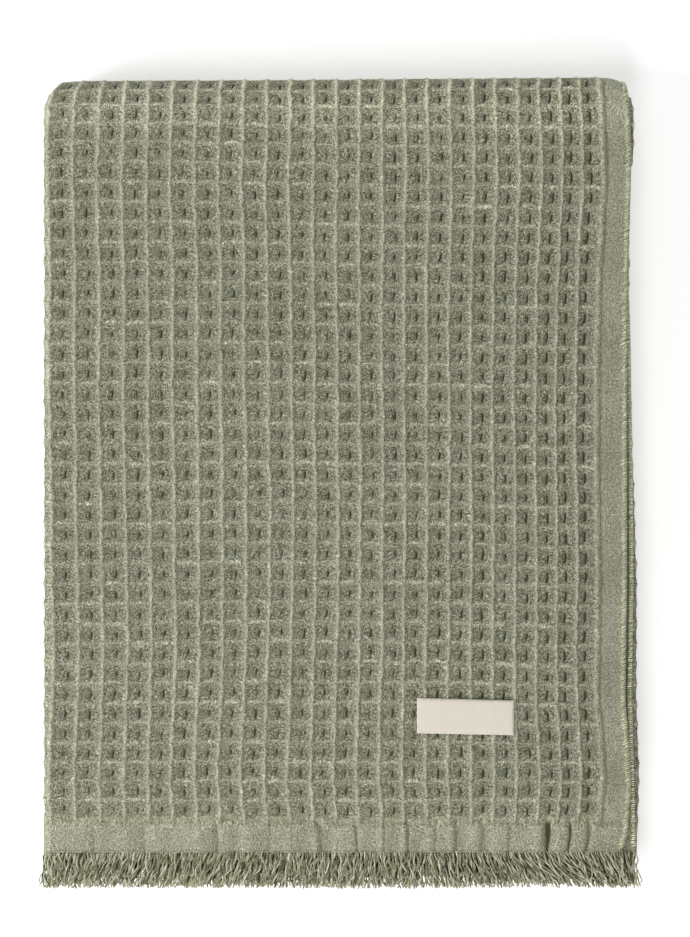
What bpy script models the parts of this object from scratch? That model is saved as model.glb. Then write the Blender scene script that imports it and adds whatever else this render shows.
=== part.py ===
"""A fringed throw blanket in waffle weave, folded flat, with a small sewn label.

The cloth is one sheet. It is folded in half and in half again across its width, into a strip of four
layers, and the strip is folded the same way along its length, into four levels: sixteen layers in all.
Metres, +Z up. The origin is the middle of the footprint, on the surface that the throw lies on. The fringe
is at -Y, the last and largest fold at +Y, the strip's folded side at -X and its selvedges at +X.
"""

import math

import bmesh
import bpy
import numpy as np

MM = 0.001

# The folded throw, seen from above
LEFT_EDGE = -158.5 * MM
RIGHT_EDGE = 158.5 * MM
BACK_EDGE = 215.5 * MM
HEM_LINE = -195.3 * MM  # where the cloth ends and the fringe starts
FRONT_FOLD_EDGE = -210.0 * MM  # the round edge of the two lower levels, under the fringe

# The cloth
LAYER = 2.6 * MM  # from one layer to the next
WAFFLE_THICK = 2.1 * MM
BAND_THICK = 1.4 * MM  # the plain-woven bands along the edges
SIDE_BAND = 16.5 * MM
END_BAND = 14.0 * MM
BAND_STEP = 1.5 * MM  # over which the waffle thins to a band
STRIP = 4 * LAYER  # from one level of the folded strip to the next
STRIP_HALF = 1.5 * LAYER + WAFFLE_THICK / 2
GROUND = 0.5 * STRIP - STRIP_HALF  # the modelled underside's height before it is put on the surface

# Centres of the folds
LEFT_FOLD = LEFT_EDGE + STRIP_HALF
BACK_FOLD = BACK_EDGE - 1.5 * STRIP - STRIP_HALF
FRONT_FOLD = FRONT_FOLD_EDGE + 0.5 * STRIP + STRIP_HALF

# Where the section starts, as (x, height in the strip), and where the strip's line starts, as (y, z)
SELVEDGE_START = (RIGHT_EDGE, 1.5 * LAYER)
HEM_START = (HEM_LINE, 3.5 * STRIP)

# The fringe
FRINGE_GAP = 0.3 * MM
ROOT_STRIP = 2.4 * MM
LOCK_LENGTH = 17.0 * MM
LOCK_THICK_SHARE = 0.8  # of the band that the locks hang from
LOCK_TAPER = 0.36  # share of its width that a lock loses towards its tip
LOCK_STRAY = 1.2 * MM  # how unevenly the locks hang and end
LEAN_TURN = 2.3  # radians from one lock to the next, in the waves that make them uneven
TIP_TURN = 1.7
LOCKS_ON_TOP = 44
LOCKS_BELOW = 22

# Places across the fringe, and how far the tips there lean to the right
LEAN_MM = (
    (-158.0, -120.0, -60.0, 0.0, 60.0, 110.0, 145.0, 158.0),
    (0.5, -4.0, -2.0, 1.0, 6.0, 9.0, 5.0, 0.5),
)

# The label
LABEL_MIDDLE = (66.0 * MM, -123.0 * MM)
LABEL_SIZE = (51.4 * MM, 19.6 * MM)
LABEL_THICK = 0.6 * MM
LABEL_TURN = math.radians(-1.4)
LABEL_GAP = 0.3 * MM
LABEL_REACH = (90.0 * MM, 60.0 * MM)  # a facet of the cloth under the label has its corners nearer than this

# How the right-hand edges of the top level wander, from the back to the fringe:
# the place along Y, then how far the upper selvedge, the lower selvedge and the fold below them stay
# inside RIGHT_EDGE
EDGE_COLUMNS = ("along", "upper_selvedge", "lower_selvedge", "fold")
EDGE_ROWS_MM = (
    (206.0, 5.9, 7.5, 3.0),
    (172.0, 4.5, 8.0, 3.2),
    (120.0, 5.9, 6.5, 5.5),
    (82.0, 6.7, 5.0, 5.8),
    (18.0, 6.9, 3.9, 3.7),
    (-50.0, 6.9, 3.3, 1.5),
    (-114.0, 7.8, 4.3, 1.7),
    (-157.0, 4.5, 3.0, 0.2),
    (-186.0, 6.7, 2.4, 1.5),
    (-195.3, 9.3, 2.0, 1.7),
)
# The lower levels' edges: a mean inset and a wave, one row a level
LOWER_COLUMNS = ("upper_selvedge", "lower_selvedge", "fold", "wave", "wavelength", "phase")
LOWER_LEVELS_MM = (
    (5.0, 6.0, 3.5, 1.2, 310.0, 0.8),
    (6.0, 4.5, 2.5, 1.0, 270.0, 2.1),
    (4.5, 5.5, 2.0, 1.1, 350.0, 4.0),
)

# How the folded stack settles
SIDE_DROOP = 0.10  # share of the height lost along the selvedges, where the thin bands lie
SIDE_DROOP_WIDTH = 42.0 * MM
HEM_DROOP = 0.28  # share of the two upper levels' height lost at the hem
HEM_DROOP_LENGTH = 34.0 * MM
CORNER_DRAW_LEFT = 0.055  # how far the last fold draws its ends in, as shares of the half width
CORNER_DRAW_RIGHT = 0.022
SWELL = 0.5 * MM  # the slow rise and fall of the top
SWELL_ACROSS = 37.0 * MM  # for one radian of it
SWELL_ALONG = 52.0 * MM
SWELL_SHIFT = (1.0, 0.6)

# Colours, as linear red, green and blue
SAGE = (0.245, 0.250, 0.180)
FRINGE_SAGE = (0.230, 0.230, 0.160)
CREAM = (0.760, 0.700, 0.600)
CLOTH_ROUGHNESS = 0.95
TAPE_ROUGHNESS = 0.8
SMOOTH_UP_TO = math.radians(40.0)  # edges sharper than this are drawn sharp

# Samples along each part of the section
RUN_STEPS = 5
LONG_RUN_STEPS = 8
SMALL_FOLD_STEPS = 5
LARGE_FOLD_STEPS = 8


def rise(value, start, end):
    """0 at start and 1 at end, with a smooth slope between."""
    share = np.clip((value - start) / (end - start), 0.0, 1.0)
    return share * share * (3.0 - 2.0 * share)


def walk(start, heading, side, moves):
    """Walks a folded line of straight runs and half turns.

    A move is (name, run length or fold radius, turn, steps), with turn 0 on a run and +1 or -1 for a half
    turn to the left or right. side is +1 if the outer face of the line is on its left. Returns the points,
    the outward normals and the name of each point's move, as arrays.
    """
    points = [np.array(start, float)]
    headings = [heading]
    names = [moves[0][0]]
    for name, size, turn, steps in moves:
        here, way = points[-1], headings[-1]
        for step in range(1, steps + 1):
            share = step / steps
            if turn == 0:
                points.append(here + size * share * np.array([math.cos(way), math.sin(way)]))
                headings.append(way)
            else:
                left = way + turn * math.pi / 2
                centre = here + size * np.array([math.cos(left), math.sin(left)])
                angle = left + math.pi + turn * math.pi * share
                points.append(centre + size * np.array([math.cos(angle), math.sin(angle)]))
                headings.append(way + turn * math.pi * share)
            names.append(name)
    headings = np.array(headings)
    normals = side * np.stack([-np.sin(headings), np.cos(headings)], axis=1)
    return np.array(points), normals, np.array(names)


def band_run(length, band, steps):
    """The moves of a run that starts with a plain band: its edge, the step up to the waffle, and the waffle."""
    return [
        ("band", band, 0, 1),
        ("step", BAND_STEP, 0, 1),
        ("waffle", length - band - BAND_STEP, 0, steps),
    ]


def across_moves():
    """The strip's section, from the upper selvedge round the folds to the lower selvedge."""
    width = RIGHT_EDGE - LEFT_FOLD
    first = band_run(width, SIDE_BAND, RUN_STEPS)
    return [
        *[("upper_" + move[0], *move[1:]) for move in first],
        ("left_fold", 1.5 * LAYER, +1, LARGE_FOLD_STEPS),
        ("fold_run", width - 0.5 * LAYER, 0, RUN_STEPS),
        ("right_fold", 0.5 * LAYER, +1, SMALL_FOLD_STEPS),
        ("fold_run", width - 0.5 * LAYER, 0, RUN_STEPS),
        ("inner_fold", 0.5 * LAYER, -1, SMALL_FOLD_STEPS),
        *[("lower_" + move[0], *move[1:]) for move in reversed(first)],
    ]


def along_moves():
    """The strip's own line, from the hem of level 1 at the top round the folds to the hem of level 2."""
    upper = BACK_FOLD - HEM_LINE
    lower = BACK_FOLD - FRONT_FOLD
    first = band_run(upper, END_BAND, LONG_RUN_STEPS)
    return [
        *[("top_" + move[0], *move[1:]) for move in first],
        ("back_fold", 1.5 * STRIP, -1, LARGE_FOLD_STEPS + 2),
        ("bottom", lower, 0, RUN_STEPS + 1),
        ("front_fold", 0.5 * STRIP, -1, SMALL_FOLD_STEPS + 1),
        ("third", lower, 0, RUN_STEPS + 1),
        ("inner_back_fold", 0.5 * STRIP, +1, SMALL_FOLD_STEPS + 1),
        *[("second_" + move[0], *move[1:]) for move in reversed(first)],
    ]


def thickness(distance, band):
    """The cloth's thickness at a distance from its edge: the thin band, then the waffle."""
    return BAND_THICK + (WAFFLE_THICK - BAND_THICK) * rise(distance, band, band + BAND_STEP)


def edge_distance(points):
    """How far each point of a line is from the nearer of its two ends, along the line."""
    steps = np.linalg.norm(np.diff(points, axis=0), axis=1)
    walked = np.concatenate([[0.0], np.cumsum(steps)])
    return np.minimum(walked, walked[-1] - walked)


def right_insets(along_y, level):
    """How far the upper selvedge, the lower selvedge and the fold stay inside RIGHT_EDGE, at places along Y."""
    if level == 1:
        table = np.array(EDGE_ROWS_MM)[::-1] * MM
        return {
            name: np.interp(along_y, table[:, 0], table[:, column])
            for column, name in enumerate(EDGE_COLUMNS)
            if name != "along"
        }
    row = dict(zip(LOWER_COLUMNS, LOWER_LEVELS_MM[level - 2]))
    turns = along_y / (row["wavelength"] * MM)
    wave = row["wave"] * MM * np.sin(2 * math.pi * turns + row["phase"])
    return {name: row[name] * MM + wave for name in EDGE_COLUMNS[1:]}


def level_shares(height):
    """How much each of the four levels counts at a height of the strip's line: 1 in its own level."""
    level = np.clip(4.5 - height / STRIP, 1.0, 4.0)
    return [np.clip(1.0 - np.abs(level - number), 0.0, 1.0) for number in range(1, 5)]


def settle(x, y, z, back_turn):
    """The folded stack's own unevenness, as one smooth change of the space that it fills.

    back_turn is 1 at the outermost point of the last fold and 0 away from it.
    """
    x = x * (1.0 - np.where(x < 0.0, CORNER_DRAW_LEFT, CORNER_DRAW_RIGHT) * back_turn)
    middle = 2.0 * STRIP
    hem = HEM_DROOP * rise(-y, -(HEM_LINE + HEM_DROOP_LENGTH), -HEM_LINE)
    z = np.where(z > middle, middle + (z - middle) * (1.0 - hem), z)
    side = SIDE_DROOP * rise(x, RIGHT_EDGE - SIDE_DROOP_WIDTH, RIGHT_EDGE)
    top_share = np.clip(z / (4.0 * STRIP), 0.0, 1.0)
    swell = SWELL * np.sin(x / SWELL_ACROSS + SWELL_SHIFT[0]) * np.cos(y / SWELL_ALONG + SWELL_SHIFT[1])
    return x, y, z * (1.0 - side) + swell * top_share


def place(across, across_names, along, along_normals, back_turn):
    """Folds points of the strip's section along the strip's line, and lets them settle.

    across holds (x, height in the strip) for each point of the section, and along (y, z) for each place of
    the line. Returns an array of along by across by 3.
    """
    shares = level_shares(along[:, 1])
    insets = {name: 0.0 for name in EDGE_COLUMNS[1:]}
    for number, share in enumerate(shares, start=1):
        found = right_insets(along[:, 0], number)
        for name in insets:
            insets[name] = insets[name] + share * found[name]
    reach = np.clip((across[:, 0] - LEFT_FOLD) / (RIGHT_EDGE - LEFT_FOLD), 0.0, 1.0)
    upper = np.char.startswith(across_names, "upper_")
    lower = np.char.startswith(across_names, "lower_")
    fold = ~(upper | lower)
    inset = (
        np.outer(insets["upper_selvedge"], upper)
        + np.outer(insets["lower_selvedge"], lower)
        + np.outer(insets["fold"], fold)
    )
    x = across[None, :, 0] - inset * reach[None, :]
    height = across[None, :, 1]
    y = along[:, None, 0] + height * along_normals[:, None, 0]
    z = along[:, None, 1] + height * along_normals[:, None, 1] - GROUND
    turned = np.broadcast_to(back_turn[:, None], x.shape)
    return np.stack(settle(x, y, z, turned), axis=2)


def back_turns(along_names, along_normals):
    """1 at the outermost point of the last fold, falling smoothly to 0 at its ends."""
    return np.where(along_names == "back_fold", np.clip(along_normals[:, 0], 0.0, 1.0) ** 2, 0.0)


def cloth_faces(rows, columns):
    """The faces of a closed sheet: an outer grid, an inner grid after it, and the rim between them."""
    index = np.arange(rows * columns).reshape(rows, columns)
    inner = index + rows * columns
    quads = [
        np.stack([index[:-1, :-1], index[1:, :-1], index[1:, 1:], index[:-1, 1:]], axis=-1).reshape(-1, 4),
        np.stack([inner[:-1, :-1], inner[:-1, 1:], inner[1:, 1:], inner[1:, :-1]], axis=-1).reshape(-1, 4),
    ]
    around = np.concatenate([index[0, :-1], index[:-1, -1], index[-1, :0:-1], index[:0:-1, 0]])
    after = np.roll(around, -1)
    quads.append(np.stack([around, after, after + rows * columns, around + rows * columns], axis=-1))
    return np.concatenate(quads)


def new_object(name, points, faces, material):
    mesh = bpy.data.meshes.new(name)
    mesh.from_pydata(np.asarray(points).tolist(), [], [list(face) for face in faces])
    shape = bmesh.new()
    shape.from_mesh(mesh)
    bmesh.ops.recalc_face_normals(shape, faces=shape.faces)
    shape.to_mesh(mesh)
    shape.free()
    mesh.materials.append(material)
    mesh.shade_smooth()
    mesh.set_sharp_from_angle(angle=SMOOTH_UP_TO)
    made = bpy.data.objects.new(name, mesh)
    bpy.context.scene.collection.objects.link(made)
    return made


def fabric(name, colour, roughness):
    material = bpy.data.materials.new(name)
    material.use_nodes = True
    shader = material.node_tree.nodes["Principled BSDF"]
    shader.inputs["Base Color"].default_value = (*colour, 1.0)
    shader.inputs["Roughness"].default_value = roughness
    shader.inputs["Metallic"].default_value = 0.0
    return material


def build_cloth(material):
    across, across_normals, across_names = walk(SELVEDGE_START, math.pi, -1, across_moves())
    along, along_normals, along_names = walk(HEM_START, 0.0, +1, along_moves())
    turns = back_turns(along_names, along_normals)
    side_thick = thickness(edge_distance(across), SIDE_BAND)
    end_thick = thickness(edge_distance(along), END_BAND)
    half = np.minimum(side_thick[None, :], end_thick[:, None]) / 2
    middle = place(across, across_names, along, along_normals, turns)
    outer = place(across + across_normals * WAFFLE_THICK / 2, across_names, along, along_normals, turns)
    inner = place(across - across_normals * WAFFLE_THICK / 2, across_names, along, along_normals, turns)
    share = (half / (WAFFLE_THICK / 2))[:, :, None]
    outer = middle + (outer - middle) * share
    inner = middle + (inner - middle) * share
    points = np.concatenate([outer.reshape(-1, 3), inner.reshape(-1, 3)])
    return new_object("throw_cloth", points, cloth_faces(len(along), len(across)), material)


def fringe_moves(locks):
    """The section again, with each straight layer cut into gap, lock, gap, lock ... and a last gap."""
    width = RIGHT_EDGE - LEFT_FOLD
    first, second, third, fourth = (2 * count + 1 for count in locks)
    return [
        ("upper_run", width, 0, first),
        ("left_fold", 1.5 * LAYER, +1, SMALL_FOLD_STEPS),
        ("fold_run", width - 0.5 * LAYER, 0, second),
        ("right_fold", 0.5 * LAYER, +1, SMALL_FOLD_STEPS),
        ("fold_run", width - 0.5 * LAYER, 0, third),
        ("inner_fold", 0.5 * LAYER, -1, SMALL_FOLD_STEPS),
        ("lower_run", width, 0, fourth),
    ]


def lock_steps(moves):
    """The steps of the walked moves that carry a lock: every second one of each straight layer."""
    found = set()
    first = 0
    for _, _, turn, steps in moves:
        if turn == 0:
            found.update(range(first + 1, first + steps, 2))
        first += steps
    return found


def lock_ring(corners, share, step):
    """A lock's section at a share of its length: narrower, thinner, leaning, and cut a little unevenly."""
    middle = corners.mean(axis=0)
    ring = middle + (corners - middle) * np.array([1.0 - LOCK_TAPER * share, 1.0, LOCK_THICK_SHARE])
    lean = np.interp(middle[0] / MM, *LEAN_MM) * MM + LOCK_STRAY * math.sin(LEAN_TURN * step)
    uneven = LOCK_STRAY * math.sin(TIP_TURN * step)
    return ring + np.array([lean * share**2, uneven * share, 0.0])


def build_fringe(name, level, locks, material):
    """A narrow strip along the cloth's end, folded as the cloth is, with locks hanging from its layers."""
    moves = fringe_moves(locks)
    across, across_normals, across_names = walk(SELVEDGE_START, math.pi, -1, moves)
    root = HEM_LINE - FRINGE_GAP
    places = root - np.array([0.0, ROOT_STRIP, ROOT_STRIP + LOCK_LENGTH / 2, ROOT_STRIP + LOCK_LENGTH])
    line = np.stack([places, np.full(len(places), (4.5 - level) * STRIP)], axis=1)
    line_normals = np.tile([0.0, 1.0 if level == 1 else -1.0], (len(places), 1))
    still = np.zeros(len(places))
    sides = [
        place(across + across_normals * half, across_names, line, line_normals, still)
        for half in (BAND_THICK / 2, -BAND_THICK / 2)
    ]
    points = [corner for side in sides for row in side[:2] for corner in row]
    count = len(across)
    upper_back, upper_front, under_back, under_front = np.arange(4 * count).reshape(4, count)
    faces = [
        [upper_back[0], under_back[0], under_front[0], upper_front[0]],
        [upper_back[-1], upper_front[-1], under_front[-1], under_back[-1]],
    ]
    hanging = lock_steps(moves)
    for step in range(count - 1):
        after = step + 1
        faces.append([upper_back[step], upper_front[step], upper_front[after], upper_back[after]])
        faces.append([under_back[step], under_back[after], under_front[after], under_front[step]])
        faces.append([upper_back[step], upper_back[after], under_back[after], under_back[step]])
        ring = [upper_front[step], upper_front[after], under_front[after], under_front[step]]
        if step in hanging:
            for row, share in ((2, 0.5), (3, 1.0)):
                upper, under = (side[row] for side in sides)
                corners = np.array([upper[step], upper[after], under[after], under[step]])
                lower = list(range(len(points), len(points) + 4))
                points.extend(lock_ring(corners, share, step))
                faces.extend([[ring[k], lower[k], lower[k - 3], ring[k - 3]] for k in range(4)])
                ring = lower
        faces.append(ring)
    return new_object(name, points, faces, material)


def build_label(material, cloth):
    """A small rectangle of woven tape, lying on the top layer of the cloth."""
    half_x, half_y = LABEL_SIZE[0] / 2, LABEL_SIZE[1] / 2
    corners = np.array([(-half_x, -half_y), (half_x, -half_y), (half_x, half_y), (-half_x, half_y)])
    cos, sin = math.cos(LABEL_TURN), math.sin(LABEL_TURN)
    corners = corners @ np.array([[cos, sin], [-sin, cos]]) + np.array(LABEL_MIDDLE)
    top = np.array([corner.co.z for corner in cloth.data.vertices if near_label(corner.co)]).max()
    under = top + LABEL_GAP
    points = [(x, y, under) for x, y in corners] + [(x, y, under + LABEL_THICK) for x, y in corners]
    faces = [(3, 2, 1, 0), (4, 5, 6, 7), (0, 1, 5, 4), (1, 2, 6, 5), (2, 3, 7, 6), (3, 0, 4, 7)]
    return new_object("label", points, faces, material)


def near_label(point):
    """Whether a point of the cloth is near enough to the label to lie under one of its facets."""
    return all(abs(point[axis] - LABEL_MIDDLE[axis]) < LABEL_REACH[axis] for axis in (0, 1))


def main():
    for old in list(bpy.data.objects):
        bpy.data.objects.remove(old)
    sage = fabric("sage_cotton", SAGE, CLOTH_ROUGHNESS)
    yarn = fabric("sage_fringe_yarn", FRINGE_SAGE, CLOTH_ROUGHNESS)
    tape = fabric("label_tape", CREAM, TAPE_ROUGHNESS)
    cloth = build_cloth(sage)
    build_fringe("fringe_upper_end", 1, (LOCKS_ON_TOP, LOCKS_BELOW, LOCKS_BELOW, LOCKS_BELOW), yarn)
    build_fringe("fringe_lower_end", 2, (LOCKS_BELOW,) * 4, yarn)
    build_label(tape, cloth)


main()
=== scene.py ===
import math

import bpy
import numpy as np
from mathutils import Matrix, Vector


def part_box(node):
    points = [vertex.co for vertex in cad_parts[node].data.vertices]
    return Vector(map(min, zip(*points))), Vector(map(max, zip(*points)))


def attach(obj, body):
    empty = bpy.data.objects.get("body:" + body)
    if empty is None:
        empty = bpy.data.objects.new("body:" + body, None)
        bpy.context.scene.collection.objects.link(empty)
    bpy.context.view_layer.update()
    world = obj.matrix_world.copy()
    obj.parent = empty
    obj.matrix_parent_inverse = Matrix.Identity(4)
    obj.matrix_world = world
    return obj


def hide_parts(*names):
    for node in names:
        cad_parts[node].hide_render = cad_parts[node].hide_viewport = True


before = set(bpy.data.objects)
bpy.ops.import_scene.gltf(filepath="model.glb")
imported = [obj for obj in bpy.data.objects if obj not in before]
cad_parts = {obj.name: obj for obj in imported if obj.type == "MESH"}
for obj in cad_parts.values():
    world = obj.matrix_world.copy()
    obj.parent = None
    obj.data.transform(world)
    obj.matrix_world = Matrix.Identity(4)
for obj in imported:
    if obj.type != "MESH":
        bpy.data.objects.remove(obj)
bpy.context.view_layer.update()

bl_info = {
    "name": "Folded waffle throw",
    "version": (1, 0, 0),
    "blender": (4, 5, 0),
    "location": "3D View > Sidebar > Throw",
    "description": "Builds the looks of a fringed waffle-weave throw, folded in half twice each way",
    "category": "Add Mesh",
}

MM = 0.001
# How far the top layer's selvedge stays inside the right-hand side, on average
MEAN_INSET = 6.7 * MM

# How the right-hand edges of the top level wander, from the fringe to the back:
# the place along Y, then how far the upper selvedge, the lower selvedge and the fold below them stay inside
# the right-hand side
EDGE_COLUMNS = ("along", "upper_selvedge", "lower_selvedge", "fold")
EDGE_ROWS_MM = (
    (-195.3, 9.3, 2.0, 1.7),
    (-186.0, 6.7, 2.4, 1.5),
    (-157.0, 4.5, 3.0, 0.2),
    (-114.0, 7.8, 4.3, 1.7),
    (-50.0, 6.9, 3.3, 1.5),
    (18.0, 6.9, 3.9, 3.7),
    (82.0, 6.7, 5.0, 5.8),
    (120.0, 5.9, 6.5, 5.5),
    (161.0, 4.8, 7.7, 5.6),
    (176.0, 4.6, 8.0, 3.2),
    (206.0, 5.9, 7.5, 3.0),
)
# The lower levels' edges: a mean inset and a wave, one row a level
LOWER_COLUMNS = ("upper_selvedge", "lower_selvedge", "fold", "wave", "wavelength", "phase")
LOWER_LEVELS_MM = (
    (5.0, 6.0, 3.5, 1.2, 310.0, 0.8),
    (6.0, 4.5, 2.5, 1.0, 270.0, 2.1),
    (4.5, 5.5, 2.0, 1.1, 350.0, 4.0),
)

# The section of a cell from its right-hand rib (-1) over its slit (0) to its left-hand rib (1): the height of
# the woven face above the middle of the cloth half way down the cell, and where two rows meet
CELL_COLUMNS = ("place", "floor_mm", "ridge_mm")
CELL_ROWS = (
    (-1.00, 1.10, 1.10),
    (-0.95, 1.06, 1.06),
    (-0.89, 0.94, 0.98),
    (-0.80, 0.62, 0.76),
    (-0.66, 0.36, 0.62),
    (-0.40, 0.14, 0.54),
    (-0.16, -0.04, 0.52),
    (-0.05, -0.16, 0.50),
    (0.05, -0.18, 0.50),
    (0.16, -0.08, 0.51),
    (0.48, 0.00, 0.52),
    (0.64, -0.02, 0.53),
    (0.76, 0.02, 0.55),
    (0.86, 0.30, 0.66),
    (0.94, 0.86, 0.94),
    (1.00, 1.10, 1.10),
)
# Samples in a cell, across from rib to rib and along from ridge to ridge: fine where it shows, else coarse
FINE_ACROSS = tuple(row[0] for row in CELL_ROWS[:-1])
FINE_ALONG = (-1.0, -0.92, -0.82, -0.58, -0.28, 0.0, 0.28, 0.58, 0.82, 0.92)
MIDDLING_ACROSS = (-1.0, -0.66, -0.08, 0.0, 0.08, 0.66, 0.93)
MIDDLING_ALONG = (-1.0, -0.6, 0.0, 0.6)

# How far the rows of cells sag towards the hem, at places along the cloth from the hem (first column) and
# across the top (SAG_PLACES_MM)
SAG_PLACES_MM = (-110.0, -35.0, 55.0, 115.0)
SAG_COLUMNS = ("along", "left", "middle_left", "middle_right", "right")
SAG_ROWS_MM = (
    (16.0, 0.0, 0.0, 0.0, 0.0),
    (59.0, 2.1, 0.5, 1.0, 2.6),
    (101.0, 2.1, 0.1, 0.3, 3.7),
    (207.0, 2.1, 0.5, 2.1, 4.2),
    (377.0, 0.5, 1.0, 2.6, 3.7),
    (394.0, 1.9, 2.2, 2.7, 3.6),
    (409.0, 4.2, 4.5, 4.4, 4.6),
    (445.0, 0.0, 0.0, 0.0, 0.0),
)

# How far the ribs wander to the right, in the same columns
WANDER_ROWS_MM = (
    (16.0, 0.0, 0.0, 0.0, 0.0),
    (41.0, -0.6, -2.4, -1.1, 0.5),
    (110.0, 1.8, 0.5, 0.0, 0.0),
    (142.0, 1.3, 1.1, 0.0, 0.0),
    (195.0, 0.2, 1.4, 0.5, -0.5),
    (248.0, -0.6, 0.6, 0.0, -1.0),
    (301.0, -0.4, 0.0, 0.0, -0.5),
    (354.0, -1.6, -1.3, 1.0, 1.6),
    (442.0, 0.0, 0.0, 0.0, 0.0),
)

# Creases in the plain band at the hem of the top level: place across, half width at the hem and depth, how
# much wider each is at the waffle, and how much further right it is there
CREASE_COLUMNS = ("across", "half_width", "depth", "widening", "slant")
CREASE_ROWS_MM = (
    (-131.0, 1.8, 0.6, 0.3, 0.5),
    (-104.0, 1.2, 0.4, 0.3, -0.5),
    (-65.2, 2.4, 1.0, -0.4, -0.6),
    (-37.6, 1.8, 0.6, 0.2, 0.5),
    (-26.0, 0.8, 0.5, 0.0, 0.3),
    (-10.0, 0.9, 1.15, 3.0, -0.6),
    (8.7, 0.7, 1.3, 0.2, -0.9),
    (23.3, 1.0, 0.9, 0.1, 0.1),
    (36.0, 1.1, 1.2, 0.2, -0.3),
    (50.7, 1.6, 0.9, 0.2, 0.3),
    (61.7, 1.3, 0.95, 0.1, -0.5),
    (75.5, 1.0, 0.7, 0.0, 0.2),
    (90.0, 1.1, 0.8, 0.0, -0.4),
    (110.9, 0.8, 2.4, 2.4, -0.3),
    (122.1, 0.9, 1.7, 0.2, -0.6),
    (132.2, 1.0, 1.5, 0.8, -0.5),
)
# The step between the ribs of the layers under the top one
HIDDEN_RIB_STEP = 12.7 * MM
# The rib, from the left, that the rib shift moves most, and over how many ribs the shift fades
SHIFTED_RIB = 21.5
SHIFT_SPREAD = 4.2
# The deepest that a slit reaches below the middle of the cloth
LOWEST_MM = 0.85
# Samples in the plain band: their step, places beside the groove at the first rib, and places across a crease
BAND_STEP = 1.8 * MM
GROOVE_MM = (3.1, 2.4, 1.7)
CREASE_SAMPLES_MM = (-0.9, 0.0, 0.6)
HEM_SAMPLES = 13
# How far from a selvedge, from the right-hand fold and from the left fold the hidden layers are sampled by
# the cell. The lowest level's stretch reaches past the front fold by the last of these.
SELVEDGE_ZONE = 45 * MM
FOLD_ZONE = 24 * MM
LEFT_ZONE = 15 * MM
# Rows of cells in whose middle the top level's face is cut, so that no piece has too many triangles
SEAM_ROWS = (13, 26)

# The fringes: the piece, the solid that it stands for, and the step between yarns in each of four layers
FRINGE_ROWS_MM = (
    ("fringe_upper", "fringe_upper_end", (1.2, 1.7, 2.0, 2.2)),
    ("fringe_lower", "fringe_lower_end", (1.7, 1.7, 2.2, 2.2)),
)
# How far inside the hem the yarns start, the first yarn's distance from the end of a layer, and how far
# their starts are spread
YARN_ROOT = 0.8 * MM
YARN_START = 0.6 * MM
YARN_SPREAD = 0.9 * MM
# Turns of the twist's stripe in radians per metre, and the contrast from yarn to yarn
FRINGE_TWIST = 4500.0
FRINGE_CONTRAST = 4.6
# Width of a clump of yarns
CLUMP_MM = 3.9
# Places across the fringe, and how far the tips there lean to the right
LEAN_MM = (
    (-158.0, -140.0, -110.0, -60.0, -25.0, 10.0, 45.0, 80.0, 110.0, 130.0, 147.0, 158.0),
    (-0.5, -3.0, -6.5, -5.5, -3.0, 0.0, 1.5, 8.0, 12.0, 10.0, 7.0, 4.5),
)
# One turn of the overlock stitch round a selvedge: how far in, as a share of the stitches' reach, and how
# high, as a share of the edge's height
TURN_COLUMNS = ("across", "height")
TURN_ROWS = (
    (1.0, 0.75),
    (0.45, 1.15),
    (0.06, 1.0),
    (-0.07, 0.0),
    (0.06, -1.0),
    (0.5, -1.1),
    (1.0, -0.6),
)
# How far from the hem the overlock starts, how far it stops short of the other hem, and how far a stitch
# slants
OVERLOCK_START = 3.0 * MM
OVERLOCK_STOP = 6.0 * MM
STITCH_SLANT = -0.7 * MM
# Length of thread from one point of a turn to the next
STITCH_THREAD = 1.6 * MM

# The label: its turn in degrees, samples across and along, and its stitches' step, length, distance from the
# edge and radius
LABEL_TURN = -1.35
LABEL_SAMPLES = (60, 24)
LABEL_STITCH_STEP = 1.9 * MM
LABEL_STITCH_LENGTH = 1.2 * MM
LABEL_STITCH_INSET = 0.9 * MM
LABEL_THREAD = 0.12 * MM
UPWARDS = (0.0, 0.0, 1.0)

# The lights: name, bearing from +X and elevation in degrees, distance and width in metres, and the brightness
# that each gives to a level white surface. SKY is what the even light from all round gives.
LIGHT_ROWS = (
    ("left_key", 190.0, 32.0, 2.2, 0.8, 0.35),
    ("front_fill", 268.0, 46.0, 2.2, 0.8, 0.34),
    ("back_fill", 95.0, 42.0, 2.2, 1.0, 0.08),
)
SKY = 0.29
FLOOR_REACH = 30.0
# The camera looks straight down: its height above the throw's top, that top, the width of its sensor in
# millimetres, the point below it, and the height of what it sees, 937 pixels of 0.53 mm each
CAMERA_ABOVE = 3.4
THROW_TOP = 0.04
SENSOR = 36.0
VIEW_MIDDLE = (2.1 * MM, 8.5 * MM)
VIEW_HEIGHT = 937 * 0.53 * MM


def size(name, description, millimetres):
    return bpy.props.FloatProperty(
        name=name, description=description, default=millimetres * MM, unit="LENGTH", precision=5
    )


def share(name, description, value):
    return bpy.props.FloatProperty(name=name, description=description, default=value, min=0.0, max=1.0)


def colour(name, description, value):
    return bpy.props.FloatVectorProperty(
        name=name, description=description, default=value, subtype="COLOR", size=3, min=0.0, max=1.0
    )


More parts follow.
